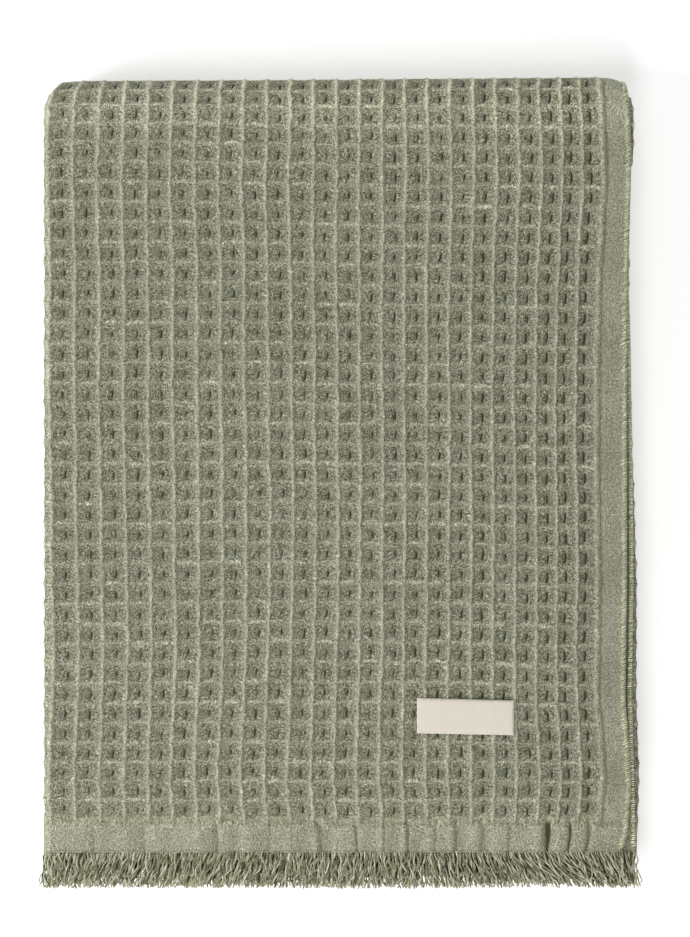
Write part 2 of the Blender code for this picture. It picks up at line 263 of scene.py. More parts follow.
class ThrowSizes(bpy.types.PropertyGroup):
    """Sizes of the folded throw."""

    right: size("Right-hand side", "Furthest right that the folded cloth reaches", 158.5)
    left_fold: size("Left fold", "Centre line of the strip's outer fold", -153.55)
    back_fold: size("Back fold", "Centre line of the large fold", 194.95)
    front_fold: size("Front fold", "Centre line of the fold of the two lower levels", -199.85)
    hem: size("Hem", "Where the cloth ends and the fringe starts", -195.3)
    layer: size("Layer", "From one layer of the strip to the next", 2.6)
    ground: size("Ground", "Height of the modelled underside before it is put on the surface", 0.25)
    waffle_half: size("Half waffle", "Half the thickness of the waffle", 1.05)
    band_half: size("Half band", "Half the thickness of the plain bands", 0.6)
    side_band: size("Side band", "Width of the plain band along a selvedge", 16.5)
    first_rib: size("First rib", "Place across of the top layer's rib next to the left fold", -153.7)
    rib_step: size("Rib step", "From the first rib of the top layer to the second", 13.25)
    rib_narrowing: size("Rib narrowing", "How fast the cells narrow towards the selvedge", 0.0515)
    rib_shift: size("Rib shift", "How far the ribs near the selvedge are moved towards it", 2.3)
    end_band: size("End band", "Length of the plain band along a hem", 12.7)
    first_ridge: size("First ridge", "From the hem to the first row's ridge", 16.7)
    ridge_step: size("Ridge step", "From one row to the next", 10.6)
    slit: size("Slit", "Depth of the slit in the middle of a cell", 0.75)
    ridge_cord: size("Ridge cord", "How far the thread on a ridge stands up", 0.26)
    arch: size("Arch", "How far the ridges bow between two ribs", 1.15)
    meander: size("Meander", "How far the ribs stray from their lines", 0.34)
    swell: size("Swell", "Slow rise and fall of the top", 0.5)
    side_droop: share("Side droop", "Share of the height lost along the selvedges", 0.08)
    side_droop_width: size("Side droop width", "Width over which the side droops", 42.0)
    corner_drop: size("Corner drop", "How far the large fold falls back at its ends", 3.0)
    back_slant: share("Back slant", "How much further back the large fold lies at the right", 0.0075)
    hem_droop: share("Hem droop", "Share of the two upper levels' height lost at the hem", 0.28)
    hem_droop_length: size("Hem droop length", "Length over which the hem droops", 34.0)
    left_draw: share("Left draw", "How far the large fold draws in its left end", 0.046)
    right_draw: share("Right draw", "How far the large fold draws in its right end", 0.034)
    fringe: size("Fringe", "Length of the fringe's yarns", 19.3)
    # Painted shade: the lower fringe is darker near its roots, where the upper fringe lies over it
    lower_fringe_shade: share("Lower yarns", "Brightness of the lower fringe as a share of the upper's", 0.2)
    yarn: size("Yarn", "Radius of a yarn of the fringe", 0.42)
    thread: size("Thread", "Radius of the sewing thread along the selvedges", 0.25)
    stitch_step: size("Stitch step", "From one stitch along the selvedges to the next", 1.1)
    stitch_reach: size("Stitch reach", "How far the stitches reach in from the selvedge", 2.9)
    label_width: size("Label width", "Length of the label", 51.4)
    label_height: size("Label height", "Width of the label", 18.6)
    label_thick: size("Label thickness", "Thickness of the label's tape", 0.6)


class ThrowColours(bpy.types.PropertyGroup):
    """Colours of the throw and its surroundings, as linear red, green and blue."""

    sage: colour("Sage", "Colour of the waffle", (0.438, 0.441, 0.292))
    # Painted shade: the colour that fills the slits and the deepest creases
    shade: colour("Shade", "Colour deep in the weave", (0.055, 0.056, 0.022))
    # Painted highlight: the crests of the ribs and ridges, lighter where light catches them
    crest_highlight: colour("Pale", "Colour of the worn crests of the ribs", (0.555, 0.555, 0.395))
    band: colour("Band", "Colour of the plain bands", (0.606, 0.608, 0.450))
    fringe: colour("Fringe", "Colour of the fringe", (0.372, 0.366, 0.250))
    sewing: colour("Sewing", "Colour of the thread along the selvedges", (0.93, 0.94, 0.68))
    sewn: colour("Sewn edge", "Colour of the cloth under that thread", (0.66, 0.67, 0.44))
    label: colour("Label", "Colour of the label", (0.71, 0.66, 0.575))
    floor: colour("Floor", "Colour of the floor", (0.80, 0.80, 0.80))
    floor_glow: share("Floor glow", "Light that the floor gives off", 0.46)


def rise(value, start, end):
    """0 at start and 1 at end, with a smooth slope between: 3 t squared less 2 t cubed."""
    part = np.clip((value - start) / (end - start), 0.0, 1.0)
    return part * part * (3.0 - 2.0 * part)


def bell(value, width):
    """1 at 0, falling to both sides: e to the power of minus the square of value over width."""
    return np.exp(-((value / width) ** 2))


def table(names, rows, unit=1.0):
    """The columns of a table by name."""
    return dict(zip(names, (np.array(rows) * unit).T))


def speckle(first, second, seed):
    """A number between 0 and 1 for each pair of whole numbers: the last digits of a large sine."""
    return np.modf(np.abs(np.sin(first * 12.9898 + second * 78.233 + seed * 37.719)) * 43758.5453)[0]


def folded_line(start, heading, side, moves, distances, offset=0.0):
    """Points and outward normals at distances along a line of straight runs and half turns.

    A run adds its length along the heading. A half turn adds pi times its radius, and is a circle's arc about
    a centre that lies one radius to the left (turn 1) or right (turn -1). side is 1 if the outward side is on
    the left. Distances are measured at the offset outwards of the line, so an arc that bends away from there
    counts as longer. A move is (length or radius, turn).
    """
    points = np.empty(distances.shape + (2,))
    normals = np.empty(distances.shape + (2,))
    here = np.array(start, float)
    way = heading
    walked = 0.0
    for number, (extent, turn) in enumerate(moves):
        stretch = extent if turn == 0 else math.pi * (extent - turn * side * offset)
        low = -np.inf if number == 0 else 0.0
        high = np.inf if number == len(moves) - 1 else 1.0
        part = np.clip((distances - walked) / stretch, low, high)[..., None]
        if turn == 0:
            point = here + extent * part * np.array([math.cos(way), math.sin(way)])
            headings = way + 0.0 * part
            here = here + extent * np.array([math.cos(way), math.sin(way)])
        else:
            left = way + turn * math.pi / 2
            centre = here + extent * np.array([math.cos(left), math.sin(left)])
            angle = left + math.pi + turn * math.pi * part
            point = centre + extent * np.concatenate([np.cos(angle), np.sin(angle)], axis=-1)
            headings = way + turn * math.pi * part
            here = 2 * centre - here
            way += turn * math.pi
        normal = side * np.concatenate([-np.sin(headings), np.cos(headings)], axis=-1)
        after = (distances >= walked)[..., None] | (number == 0)
        points = np.where(after, point, points)
        normals = np.where(after, normal, normals)
        walked += stretch
    return points, normals


def across_moves(sizes):
    """The strip's section, from the upper selvedge round its folds to the lower selvedge."""
    width = sizes.right - sizes.left_fold
    inner = width - 0.5 * sizes.layer
    return [
        (width, 0),
        (1.5 * sizes.layer, 1),
        (inner, 0),
        (0.5 * sizes.layer, 1),
        (inner, 0),
        (0.5 * sizes.layer, -1),
        (width, 0),
    ]


def along_moves(sizes):
    """The strip's own line, from the hem of the top level round its folds to the hem of the second level."""
    strip = 4 * sizes.layer
    upper = sizes.back_fold - sizes.hem
    lower = sizes.back_fold - sizes.front_fold
    small = 0.5 * strip
    return [(upper, 0), (1.5 * strip, -1), (lower, 0), (small, -1), (lower, 0), (small, 1), (upper, 0)]


def move_ends(moves, side, offset=0.0):
    """The distance at which each move ends, measured as in folded_line."""
    stretches = [
        extent if turn == 0 else math.pi * (extent - turn * side * offset) for extent, turn in moves
    ]
    return np.cumsum(stretches)


def across_ends(sizes):
    return move_ends(across_moves(sizes), -1)


def along_ends(sizes):
    """As the top layer measures it, so that the rows keep their step over the folds."""
    return move_ends(along_moves(sizes), 1, 1.5 * sizes.layer)


def reach_right(sizes, x):
    """Share of the way from the left fold to the right-hand side."""
    return np.clip((x - sizes.left_fold) / (sizes.right - sizes.left_fold), 0.0, 1.0)


def flat_across(sizes, seen):
    """The distance from the upper selvedge at which a point of the top layer is seen at a place on X."""
    squeeze = MEAN_INSET / (sizes.right - sizes.left_fold)
    return sizes.right - (seen - squeeze * sizes.left_fold) / (1.0 - squeeze)


def right_insets(along_y, level):
    """How far the upper selvedge, lower selvedge and fold stay inside the right-hand side, along Y."""
    if level == 1:
        edges = table(EDGE_COLUMNS, EDGE_ROWS_MM, MM)
        return [np.interp(along_y, edges["along"], edges[name]) for name in EDGE_COLUMNS[1:]]
    row = dict(zip(LOWER_COLUMNS, LOWER_LEVELS_MM[level - 2]))
    wave = row["wave"] * MM * np.sin(2 * math.pi * along_y / (row["wavelength"] * MM) + row["phase"])
    top_fold = right_insets(along_y, 1)[2]
    return [np.maximum(row[name] * MM + wave, top_fold + 0.7 * MM) for name in EDGE_COLUMNS[1:]]


def settle(sizes, x, y, z, back_turn):
    """The stack's own unevenness: the large fold draws its ends in, hem and sides droop, and the top swells.

    back_turn is 1 at the outermost point of the large fold and 0 away from it.
    """
    from_corner = np.minimum(sizes.right + x, sizes.right - 6.0 * MM - x)
    y = y - sizes.corner_drop * back_turn**6 * np.exp(-np.maximum(from_corner, 0.0) / (4.0 * MM))
    y = y + back_turn * (1.0 * MM + sizes.back_slant * x)
    draw = np.where(x < 0.0, sizes.left_draw, sizes.right_draw) * back_turn**3
    x = x * (1.0 - draw * np.abs(x / sizes.right) ** 5)
    middle = 8.0 * sizes.layer
    hem = sizes.hem_droop * rise(-y, -(sizes.hem + sizes.hem_droop_length), -sizes.hem)
    z = np.where(z > middle, middle + (z - middle) * (1.0 - hem), z)
    side = sizes.side_droop * rise(x, sizes.right - sizes.side_droop_width, sizes.right)
    top_share = np.clip(z / (2 * middle), 0.0, 1.0)
    swell = sizes.swell * np.sin(x / (37.0 * MM) + 1.0) * np.cos(y / (52.0 * MM) + 0.6)
    return x, y, z * (1.0 - side) + swell * top_share


def fold(sizes, across, along, height):
    """Puts points of the flat cloth in their places in the folded stack.

    across and along are distances from the upper selvedge and from the top level's hem, and height is the
    distance outwards from the middle of the cloth. The section of the strip is a folded line of its own, and
    it is carried along the strip's folded line: y and z are that line's point plus its normal times the
    section's height.
    """
    across, along, height = np.broadcast_arrays(across, along, height)
    section, section_normal = folded_line(
        (sizes.right, 1.5 * sizes.layer), math.pi, -1, across_moves(sizes), across
    )
    line, line_normal = folded_line(
        (sizes.hem, 14 * sizes.layer), 0.0, 1, along_moves(sizes), along, 1.5 * sizes.layer
    )
    x = section[..., 0] + section_normal[..., 0] * height
    out = section[..., 1] + section_normal[..., 1] * height
    strip = 4 * sizes.layer
    level = np.clip(4.5 - line[..., 1] / strip, 1.0, 4.0)
    insets = np.zeros((3,) + x.shape)
    for number in (1, 2, 3, 4):
        counts = np.clip(1.0 - np.abs(level - number), 0.0, 1.0)
        insets += counts * np.array(right_insets(line[..., 0], number))
    ends = across_ends(sizes)
    part = np.where(across < ends[0], 0, np.where(across > ends[5], 1, 2))
    inset = np.take_along_axis(insets, part[None], axis=0)[0]
    reach = reach_right(sizes, section[..., 0])
    usual = MEAN_INSET * reach
    x = x - usual - (inset - MEAN_INSET) * reach**4
    y = line[..., 0] + out * line_normal[..., 0]
    z = line[..., 1] + out * line_normal[..., 1] - sizes.ground
    on_back = (along > along_ends(sizes)[0]) & (along < along_ends(sizes)[1])
    back_turn = np.where(on_back, np.clip(line_normal[..., 0], 0.0, 1.0), 0.0)
    return np.stack(settle(sizes, x, y, z, back_turn), axis=-1)


def rib_lines(sizes):
    """Distances from the upper selvedge to every rib of the cloth.

    On the top layer, rib i from the left lies at the first rib plus i steps less i squared times the
    narrowing, and a bell curve moves those near the selvedge to the right. Beyond the left fold the ribs are
    evenly spaced as far as the lower selvedge's band.
    """
    number = np.arange(24, -1, -1)
    seen = sizes.first_rib + sizes.rib_step * number - sizes.rib_narrowing * number**2
    seen = seen + sizes.rib_shift * bell(number - SHIFTED_RIB, SHIFT_SPREAD)
    across = flat_across(sizes, seen)
    end = across_ends(sizes)[-1] - sizes.side_band
    count = round((end - across[-1]) / HIDDEN_RIB_STEP)
    return np.concatenate([across, np.linspace(across[-1], end, count + 1)[1:]])


def ridge_lines(sizes):
    """Distances from the top level's hem to every ridge between two rows of cells."""
    end = along_ends(sizes)[-1] - sizes.first_ridge
    count = round((end - sizes.first_ridge) / sizes.ridge_step)
    return np.linspace(sizes.first_ridge, end, count + 1)


def slit_shares(lines):
    """Where in each cell its slit is, as a share from its right-hand rib: near the selvedge it moves left."""
    number = np.arange(len(lines) - 1)
    return 0.5 + 0.17 * np.exp(-((number / 1.7) ** 4)) - 0.04 * speckle(number, 3, 1)


def mid_shares(lines):
    """The middle of each row of cells, as a share of its length."""
    return np.full(len(lines) - 1, 0.5)


def in_cell(lines, centres, place):
    """Which cell a place is in, and where in it: -1 and 1 at its sides, 0 at its centre, linear between."""
    number = np.clip(np.searchsorted(lines, place, side="right") - 1, 0, len(lines) - 2)
    part = (place - lines[number]) / (lines[number + 1] - lines[number])
    centre = centres[number]
    local = np.where(part > centre, (part - centre) / (1.0 - centre), part / centre - 1.0)
    return number, np.clip(local, -1.0, 1.0)


def in_weave(sizes, across, along):
    """Which column and row of cells a place is in and where in them, as (column, place, row, down)."""
    ribs, ridges = rib_lines(sizes), ridge_lines(sizes)
    return *in_cell(ribs, slit_shares(ribs), across), *in_cell(ridges, mid_shares(ridges), along)


def from_edge(place, end):
    """The distance to the nearer of 0 and the end."""
    return np.minimum(place, end - place)


def samples(lines, centres, start, end, zones, extra):
    """Places from start to end at which to sample the cloth.

    zones holds (first, last, offsets) for stretches of the cloth: each cell whose middle is in one is sampled
    at those offsets, which run from -1 and 1 at its sides to 0 at its centre. extra holds more places.
    """
    wide = np.diff(lines)
    middle = lines[:-1] + wide / 2
    found = [np.asarray(extra, float), np.array([start, end])]
    for first, last, offsets in zones:
        cells = np.flatnonzero((middle >= first) & (middle < last))
        offset = np.array(offsets)
        centre = centres[cells][:, None]
        part = np.where(offset < 0.0, centre * (1.0 + offset), centre + (1.0 - centre) * offset)
        found.append((lines[cells][:, None] + wide[cells][:, None] * part).ravel())
        found.append(lines[cells + 1])
    places = np.sort(np.concatenate(found))
    places = places[(places >= start) & (places <= end)]
    return places[np.concatenate([[True], np.diff(places) > 0.05 * MM])]


def plainness(sizes, across, along):
    """1 in the plain bands and 0 in the waffle, as (at the sides, at the hems)."""
    from_side = from_edge(across, across_ends(sizes)[-1])
    from_hem = from_edge(along, along_ends(sizes)[-1])
    ribs = rib_lines(sizes)
    sides = 1.0 - rise(from_side, ribs[0] - 0.6 * MM, ribs[0])
    hems = 1.0 - rise(from_hem, sizes.end_band, sizes.first_ridge - 1.2 * MM)
    return sides, hems


def crease_depth(across_x, along, length):
    """Depth of the hem band's creases: each is a bell curve across, narrow on its right-hand side, whose
    centre and width change along it.
    """
    depth = np.zeros(np.broadcast(across_x, along).shape)
    toward_waffle = np.clip(along / length, 0.0, 1.0)
    fade = 1.0 - rise(along, 1.05 * length, 1.6 * length)
    for row in CREASE_ROWS_MM:
        crease = dict(zip(CREASE_COLUMNS, np.array(row) * MM))
        beyond = across_x - crease["across"] - crease["slant"] * (toward_waffle - 0.5)
        wide = np.where(beyond > 0.0, 0.4 * MM, crease["half_width"] + crease["widening"] * toward_waffle)
        depth += crease["depth"] * bell(beyond, wide) * fade
    return depth


def woven_height(sizes, across, along):
    """Height of the woven face above the middle of the cloth, its share of the way up, and how much of it is
    a raised thread.

    Across a cell the height follows the cell's section. Along the cell that section changes to the ridge's as
    a bell curve about the line where two rows meet, and the slit is a narrow wedge in the middle of the cell.
    The bands are flat but for creases, and the ribs run out in them as soft pleats.
    """
    first_rib = rib_lines(sizes)[0]
    column, place, row, down = in_weave(sizes, across, along)
    cell = table(CELL_COLUMNS, CELL_ROWS)
    vary = speckle(column, row, 2)
    floor = np.interp(place, cell["place"], cell["floor_mm"]) * MM
    crossing = np.interp(place, cell["place"], cell["ridge_mm"]) * MM
    crossing = crossing - 0.22 * MM * speckle(column, row + (down > 0), 5) * (1.0 - place**2)
    beside_ridge = 1.0 - np.abs(down)
    at_ridge = bell(beside_ridge, 0.44)
    near_edge = bell(column, 1.8) + 0.35 * bell(column, 7.0)
    long_slit = 0.26 + 0.14 * speckle(column, row, 3) + 0.1 * near_edge
    slit = rise(np.abs(place), 0.155 + 0.04 * near_edge, 0.04)
    slit = slit * (1.0 - rise(np.abs(down + 0.2), long_slit, long_slit + 0.2))
    cord = bell(beside_ridge, 0.14) * rise(np.abs(place), 0.9, 0.6) * (0.6 + 0.5 * speckle(column, row, 4))
    height = floor + (crossing - floor) * at_ridge + sizes.ridge_cord * cord
    height = height - sizes.slit * (1.0 + near_edge) * (0.7 + 0.5 * vary) * slit
    height = height + 0.16 * MM * (speckle(column, row, 7) - 0.5) * (1.0 - place**2) * (1.0 - down**2)
    sides, hems = plainness(sizes, across, along)
    cord = cord * (1.0 - hems)
    pleats = 0.5 * MM * bell(1.0 - np.abs(place), 0.4) * (0.4 + 0.6 * speckle(column, 1, 8))
    band = sizes.band_half + 0.12 * MM * np.sin(along / (9.0 * MM)) * sides
    from_side = from_edge(across, across_ends(sizes)[-1])
    groove = np.exp(-(((from_side - first_rib) / MM + 2.4) ** 2) / 0.5)
    band = band - 0.6 * MM * groove * (1.0 - hems)
    hem_band = band + (pleats + 0.16 * MM * np.sin(across / (2.7 * MM) + 2.0 * vary)) * (1.0 - sides)
    height = height + (hem_band - height) * hems
    height = height + (band - height) * sides
    top_x = sizes.right - across
    seen_x = top_x - MEAN_INSET * reach_right(sizes, top_x)
    height = height - crease_depth(seen_x, along, sizes.end_band)
    height = height - 0.35 * MM * (1.0 - rise(from_side, 0.0, 0.8 * MM))
    height = np.maximum(height, -LOWEST_MM * MM)
    # shown, the share of the way up, sets where the material paints shade
    flat = np.maximum(sides, hems)
    waffle_shown = (1.0 - flat) * (height / MM + LOWEST_MM) / 1.35
    band_shown = flat * (0.72 + (height - sizes.band_half) / (2.2 * MM))
    shown = np.clip(waffle_shown + band_shown, 0.0, 1.0)
    # thread marks the raised threads, which the material paints lighter as a highlight
    rib_width = np.where(place < 0.0, 0.3, 0.15)
    rib = bell(1.0 - np.abs(place), rib_width) * (0.75 + 0.25 * vary)
    thread = np.maximum(rib, 0.85 * cord) * (1.0 - sides) * (1.0 - hems)
    return height, shown, thread


def drawn_aside(sizes, rows, across, along):
    """How far the weave is moved, from the rows of SAG_ROWS_MM or WANDER_ROWS_MM: the table's values, with
    straight lines between them both ways.
    """
    moves = table(SAG_COLUMNS, rows, MM)
    places = np.array(SAG_PLACES_MM) * MM
    x = sizes.right - across
    total = np.zeros(np.broadcast(x, along).shape)
    for name, only_here in zip(SAG_COLUMNS[1:], np.eye(len(places))):
        total += np.interp(along, moves["along"], moves[name]) * np.interp(x, places, only_here)
    return total


def stray(sizes, across, along):
    """How far the weave strays from its lines, as (across, along).

    Each rib has a number between -1 and 1 at every ridge, with a smooth curve between, and follows a slow
    sine and a short one that repeats in every row. Each ridge bows towards the large fold between two ribs,
    by a parabola, and follows a slow sine across. The tables of wander and sag are taken off the two.
    """
    column, place, row, down = in_weave(sizes, across, along)

    def rib_wave(number):
        here, there = speckle(number, row, 11), speckle(number, row + 1, 11)
        slow = np.sin(along / (17.0 * MM) + 6.283 * speckle(number, 1, 12))
        return 2.0 * (here + (there - here) * rise(down, -1.0, 1.0)) - 1.0 + 0.6 * slow

    part = (place + 1.0) / 2.0
    sideways = rib_wave(column) * (1.0 - part) + rib_wave(column + 1) * part
    sideways = sideways - 0.8 * np.cos(math.pi * down)
    sides, hems = plainness(sizes, across, along)
    tilt = 2.0 * speckle(column, row, 14) - 1.0 + (2.0 * speckle(column, row, 15) - 1.0) * down
    sideways = (sideways * sizes.meander + 0.4 * MM * tilt * (1.0 - place**2)) * (1.0 - hems)
    from_selvedge = rise(across, 0.0, rib_lines(sizes)[0])
    sideways = sideways * from_selvedge
    first_rows = 1.0 + 1.2 * bell(along, 2.0 * sizes.end_band)
    bow = sizes.arch * first_rows * (0.5 + speckle(column, row, 13)) * (1.0 - place**2)
    lengthways = (bow + 0.5 * MM * np.sin(across / (41.0 * MM) + 1.0)) * (1.0 - sides) * (1.0 - hems)
    end = along_ends(sizes)[-1]
    fade = rise(along, 0.5 * sizes.end_band, sizes.first_ridge)
    fade = fade * rise(end - along, 0.5 * sizes.end_band, sizes.first_ridge)
    to_seam = rise(across_ends(sizes)[1] - across, 0.0, 15.0 * MM)
    sideways = sideways - drawn_aside(sizes, WANDER_ROWS_MM, across, along) * to_seam * from_selvedge
    return sideways, lengthways * fade - drawn_aside(sizes, SAG_ROWS_MM, across, along)


def stitch_lines(first, second, first_at, second_at):
    """Triangles between two lines of points with different spacing, each joined to the nearest beyond."""
    first_middle = (first_at[1:] + first_at[:-1]) / 2
    second_middle = (second_at[1:] + second_at[:-1]) / 2
    apex = np.searchsorted(second_middle, first_middle)
    upper = np.stack([first[:-1], first[1:], second[apex]], axis=1)
    base = np.searchsorted(apex, np.arange(len(second) - 1), side="right")
    lower = np.stack([second[1:], second[:-1], first[base]], axis=1)
    return np.concatenate([upper, lower])


def grid_faces(rows, columns, closed):
    """Quads of a grid of points, row by row. closed joins its last column to its first."""
    index = np.arange(rows * columns).reshape(rows, columns)
    beside = np.roll(index, -1, axis=1) if closed else index[:, 1:]
    here = index if closed else index[:, :-1]
    return np.stack([here[:-1], beside[:-1], beside[1:], here[1:]], axis=-1).reshape(-1, 4)


def volume(points, triangles):
    """Signed volume inside triangles: a sixth of the sum of each one's triple product."""
    a, b, c = (points[triangles[:, k]] for k in range(3))
    return float(np.einsum("ij,ij->i", a, np.cross(b, c)).sum() / 6.0)


def make_mesh(name, points, quads, triangles, material, uv=None, values=None):
    """An object from points and from quads and triangles of them, turned so that its faces point outwards."""
    quads = np.asarray(quads, np.int64).reshape(-1, 4)
    triangles = np.asarray(triangles, np.int64).reshape(-1, 3)
    halves = np.concatenate([quads[:, [0, 1, 2]], quads[:, [0, 2, 3]], triangles])
    if volume(points, halves) < 0.0:
        quads, triangles = quads[:, ::-1], triangles[:, ::-1]
    corners = np.concatenate([quads.ravel(), triangles.ravel()])
    starts = np.concatenate([np.arange(len(quads)) * 4, len(quads) * 4 + np.arange(len(triangles)) * 3])
    mesh = bpy.data.meshes.new(name)
    mesh.vertices.add(len(points))
    mesh.vertices.foreach_set("co", points.astype(np.float32).ravel())
    mesh.loops.add(len(corners))
    mesh.loops.foreach_set("vertex_index", corners.astype(np.int32))
    mesh.polygons.add(len(starts))
    mesh.polygons.foreach_set("loop_start", starts.astype(np.int32))
    mesh.update(calc_edges=True)
    if uv is not None:
        layer = mesh.uv_layers.new(name="cloth")
        layer.data.foreach_set("uv", uv[corners].astype(np.float32).ravel())
    for key, value in (values or {}).items():
        attribute = mesh.attributes.new(key, "FLOAT", "POINT")
        attribute.data.foreach_set("value", value.astype(np.float32).ravel())
    if mesh.validate():
        raise RuntimeError(f"{name} had faulty faces")
    mesh.materials.append(material)
    mesh.shade_smooth()
    mesh.set_sharp_from_angle(angle=math.radians(80.0))
    made = bpy.data.objects.new(name, mesh)
    bpy.context.scene.collection.objects.link(made)
    return made


def cloth_piece(sizes, name, material, across, under_across, along, limits):
    """A stretch of the cloth as a closed sheet: a woven face sampled at the places across, a plain inner face
    sampled at the places under_across, the two edges between them, and an end cap at the first and last row.
    A cap runs from the woven face straight down to a level line just above the inner face, and on to that.
    The weave strays from its lines but for the stretch's own limits along the cloth.
    """
    woven_across, woven_along = np.meshgrid(across, along)
    plain_across, plain_along = np.meshgrid(under_across[::-1], along)
    height, shown, thread = woven_height(sizes, woven_across, woven_along)
    sideways, lengthways = stray(sizes, woven_across, woven_along)
    inside = (woven_across > across[0]) & (woven_across < across[-1])
    within = (woven_along > limits[0]) & (woven_along < limits[1])
    both = inside & within
    strayed_across = woven_across + sideways * both
    strayed_along = woven_along + lengthways * both
    face = fold(sizes, strayed_across, strayed_along, height)
    woven_thin = np.maximum(*plainness(sizes, woven_across, woven_along))
    thin = np.maximum(*plainness(sizes, plain_across, plain_along))
    depth = -(sizes.waffle_half + (sizes.band_half - sizes.waffle_half) * thin)
    back = fold(sizes, plain_across, plain_along, depth)
    points = np.concatenate([face, back], axis=1)
    rows, columns = points.shape[:2]
    flat_uv = np.stack(
        [
            np.concatenate([woven_across, plain_across], axis=1),
            np.concatenate([woven_along, plain_along], axis=1),
        ],
        axis=-1,
    )
    shown = np.concatenate([shown, np.full(plain_across.shape, 0.6)], axis=1)
    thread = np.concatenate([thread, np.zeros(plain_across.shape)], axis=1)
    first_row = np.arange(columns)
    last_row = first_row + (rows - 1) * columns
    level_points, level_quads, caps = [], [], []
    for row, turn, here in ((first_row, 1, 0), (last_row, -1, -1)):
        outer, inner = row[: len(across)], row[len(across) :][::-1]
        under = -0.95 * (sizes.waffle_half + (sizes.band_half - sizes.waffle_half) * woven_thin[here, 1:-1])
        level_points.append(fold(sizes, strayed_across[here, 1:-1], strayed_along[here, 1:-1], under))
        level = rows * columns + np.arange(len(across) - 2) + (len(across) - 2) * len(caps)
        level = np.concatenate([inner[:1], level, inner[-1:]])
        level_quads.append(np.stack([outer[:-1], outer[1:], level[1:], level[:-1]], axis=1)[:, ::turn])
        cap = stitch_lines(level, inner, across, under_across)[:, ::turn]
        caps.append(cap[(cap != np.roll(cap, 1, axis=1)).all(axis=1)])
    edge_uv = np.concatenate([flat_uv[0, 1 : len(across) - 1], flat_uv[-1, 1 : len(across) - 1]])
    all_uv = np.concatenate([flat_uv.reshape(-1, 2), edge_uv])
    edge_values = np.full(len(edge_uv), 0.5)
    plain = np.maximum(*plainness(sizes, all_uv[:, 0], all_uv[:, 1]))
    return make_mesh(
        name,
        np.concatenate([points.reshape(-1, 3), *level_points]),
        np.concatenate([grid_faces(rows, columns, True), *level_quads]),
        np.concatenate(caps),
        material,
        all_uv,
        {
            "height": np.concatenate([shown.ravel(), edge_values]),
            "thread": np.concatenate([thread.ravel(), 0.0 * edge_values]),
            "plain": plain,
        },
    )


def tubes(paths, radii, sides, reference):
    """Points, quads and triangles of closed tubes, one along each path.

    paths is tubes by points by 3, and radii is tubes by points. Each point has a ring of the given number of
    sides, whose plane is square to the path: its axes are the cross product of the path's direction with the
    reference direction, and the cross product of that with the path's direction.
    """
    count, steps = paths.shape[:2]
    way = np.gradient(paths, axis=1)
    way /= np.linalg.norm(way, axis=-1, keepdims=True)
    first = np.cross(way, np.array(reference, float))
    first /= np.linalg.norm(first, axis=-1, keepdims=True)
    second = np.cross(first, way)
    angle = 2 * math.pi * np.arange(sides) / sides
    ring = (
        first[..., None, :] * np.cos(angle)[None, None, :, None]
        + second[..., None, :] * np.sin(angle)[None, None, :, None]
    )
    body = paths[..., None, :] + ring * radii[..., None, None]
    ends = np.stack(
        [
            paths[:, 0] - way[:, 0] * radii[:, :1] * 0.6,
            paths[:, -1] + way[:, -1] * radii[:, -1:] * 0.6,
        ],
        axis=1,
    )
    points = np.concatenate([body.reshape(count, -1, 3), ends], axis=1)
    each = steps * sides + 2
    quads = grid_faces(steps, sides, True)
    around = np.arange(sides)
    after = (around + 1) % sides
    top = (steps - 1) * sides
    start_cap = np.stack([after, around, np.full(sides, steps * sides)], axis=1)
    end_cap = np.stack([top + around, top + after, np.full(sides, steps * sides + 1)], axis=1)
    triangles = np.concatenate([start_cap, end_cap])
    shift = (np.arange(count) * each)[:, None, None]
    return (
        points.reshape(-1, 3),
        (quads[None] + shift).reshape(-1, 4),
        (triangles[None] + shift).reshape(-1, 3),
    )


def tube_uv(count, steps, sides, lengths):
    """Distances along each tube and a number for each, as a UV map that goes with the points of tubes."""
    along = np.repeat(np.linspace(0.0, 1.0, steps), sides)[None, :] * lengths[:, None]
    along = np.concatenate([along, np.zeros((count, 1)), lengths[:, None]], axis=1)
    which = np.broadcast_to(np.arange(count)[:, None] / count, along.shape)
    return np.stack([which, along], axis=-1).reshape(-1, 2)


def tube_object(name, paths, radii, sides, reference, lengths, material):
    """An object of closed tubes along paths, with a UV map of their lengths."""
    points, quads, triangles = tubes(paths, radii, sides, reference)
    uv = tube_uv(len(paths), paths.shape[1], sides, lengths)
    return make_mesh(name, points, quads, triangles, material, uv)


